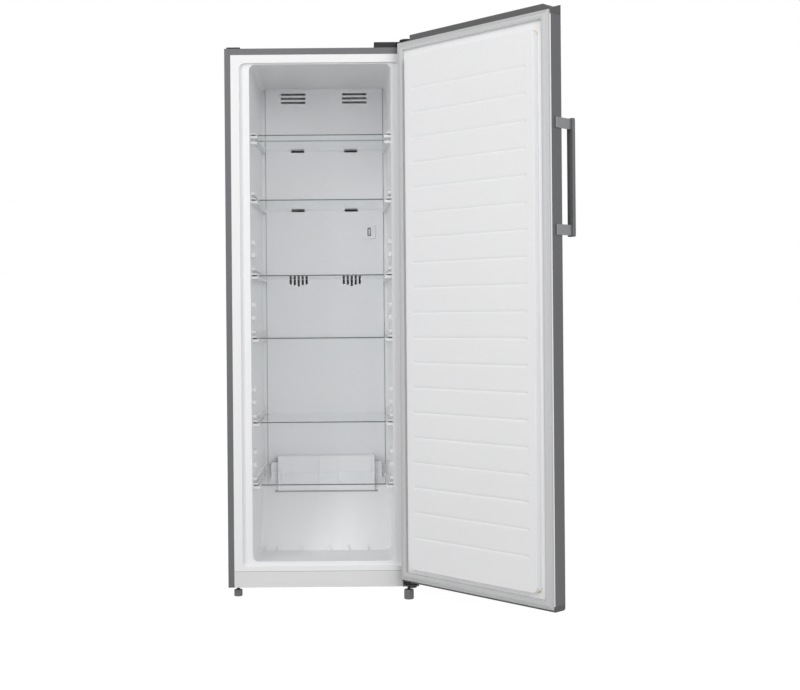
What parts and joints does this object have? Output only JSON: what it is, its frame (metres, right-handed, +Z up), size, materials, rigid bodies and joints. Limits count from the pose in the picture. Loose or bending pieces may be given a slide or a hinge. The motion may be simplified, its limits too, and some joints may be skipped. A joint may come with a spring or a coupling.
{
  "type": "upright freezer",
  "caption": "Tall upright freezer with its insulated door open, glass shelves, moulded white liner, rear air duct, bar handle and levelling feet.",
  "frame": {"origin": "on the floor, under the middle of the cabinet", "axes": "+Z up, +X to the right as seen from the front, the front faces -Y"},
  "size_m": [1.0233, 1.0539, 1.733],
  "materials": {
    "side_steel": "satin",
    "zinc_steel": "satin",
    "foam": "matte",
    "liner_white": "satin",
    "duct_white": "satin",
    "black_plastic": "matte",
    "gasket_grey": "matte",
    "glass": "polished",
    "rail_dark": "matte",
    "aluminium": "satin",
    "heater_steel": "satin",
    "copper": "satin",
    "compressor_black": "satin",
    "grommet_rubber": "matte",
    "nylon": "matte",
    "dark_steel": "satin",
    "handle_metal": "satin",
    "bracket_metal": "satin"
  },
  "bodies": {
    "cabinet": {"air_duct_panel": "duct_white", "back_panel": "zinc_steel", "base_plate": "zinc_steel", "bottom_hinge_bracket": "dark_steel", "bottom_panel": "zinc_steel", "cabinet_foam": "foam", "compressor": "compressor_black", "compressor_grommets": "grommet_rubber", "control_box": "black_plastic", "cord_gland": "black_plastic", "corner_cap": "black_plastic", "defrost_heater": "heater_steel", "drain_trough": "duct_white", "drain_tube": "nylon", "evaporation_tray": "black_plastic", "evaporator_coil": "aluminium", "evaporator_fins": "aluminium", "fan_motor": "zinc_steel", "fan_shroud": "black_plastic", "filter_drier": "copper", "front_rail": "zinc_steel", "hinge_pins": "heater_steel", "hinge_screws": "zinc_steel", "inner_liner": "liner_white", "kick_panel": "liner_white", "left_side_panel": "side_steel", "rear_cover": "black_plastic", "rear_cover_screws": "zinc_steel", "refrigerant_pipes": "copper", "return_air_cowl": "duct_white", "right_side_panel": "side_steel", "roller_brackets": "zinc_steel", "sensor_cover": "duct_white", "shelf_rail": "rail_dark", "side_condenser": "copper", "terminal_cover": "black_plastic", "top_hinge_bracket": "dark_steel", "top_hinge_cover": "black_plastic", "top_panel": "side_steel"},
    "door": {"door_bottom_cap": "black_plastic", "door_bushes": "nylon", "door_foam": "foam", "door_gasket": "gasket_grey", "door_liner": "liner_white", "door_skin": "side_steel", "door_stop": "black_plastic", "door_top_cap": "black_plastic", "handle_bar": "handle_metal", "handle_brackets": "bracket_metal"},
    "shelf_1": {"shelf_1": "glass"},
    "shelf_2": {"shelf_2": "glass"},
    "shelf_3": {"shelf_3": "glass"},
    "shelf_4": {"shelf_4": "glass"},
    "shelf_5": {"shelf_5": "glass"},
    "shelf_6": {"shelf_6": "glass"},
    "left_foot": {"left_foot": "black_plastic"},
    "right_foot": {"right_foot": "black_plastic"},
    "left_roller": {"left_roller": "black_plastic"},
    "right_roller": {"right_roller": "black_plastic"},
    "fan_blade": {"fan_blade": "black_plastic"}
  },
  "joints": [
    {"name": "door_swing", "type": "hinge", "parent": "cabinet", "child": "door", "pos_m": [0.2745, -0.3218, 0], "axis": [0, 0, 1], "range_deg": [-133.5, 0]},
    {"name": "shelf_1_slide", "type": "slide", "parent": "cabinet", "child": "shelf_1", "axis": [0, -1, 0], "range_m": [0, 0.3]},
    {"name": "shelf_2_slide", "type": "slide", "parent": "cabinet", "child": "shelf_2", "axis": [0, -1, 0], "range_m": [0, 0.3]},
    {"name": "shelf_3_slide", "type": "slide", "parent": "cabinet", "child": "shelf_3", "axis": [0, -1, 0], "range_m": [0, 0.3]},
    {"name": "shelf_4_slide", "type": "slide", "parent": "cabinet", "child": "shelf_4", "axis": [0, -1, 0], "range_m": [0, 0.3]},
    {"name": "shelf_5_slide", "type": "slide", "parent": "cabinet", "child": "shelf_5", "axis": [0, -1, 0], "range_m": [0, 0.3]},
    {"name": "shelf_6_slide", "type": "slide", "parent": "cabinet", "child": "shelf_6", "axis": [0, -1, 0], "range_m": [0, 0.3]},
    {"name": "left_foot_turn", "type": "hinge", "parent": "cabinet", "child": "left_foot", "pos_m": [-0.268, -0.2725, 0], "axis": [0, 0, 1], "range_deg": [-720, 720]},
    {"name": "right_foot_turn", "type": "hinge", "parent": "cabinet", "child": "right_foot", "pos_m": [0.264, -0.3325, 0], "axis": [0, 0, 1], "range_deg": [-720, 720]},
    {"name": "left_roller_spin", "type": "hinge", "parent": "cabinet", "child": "left_roller", "pos_m": [-0.255, 0.2475, 0.013], "axis": [1, 0, 0], "continuous": true},
    {"name": "right_roller_spin", "type": "hinge", "parent": "cabinet", "child": "right_roller", "pos_m": [0.255, 0.2475, 0.013], "axis": [1, 0, 0], "continuous": true},
    {"name": "fan_spin", "type": "hinge", "parent": "cabinet", "child": "fan_blade", "pos_m": [0, 0.1725, 0.76], "axis": [0, 1, 0], "continuous": true}
  ]
}
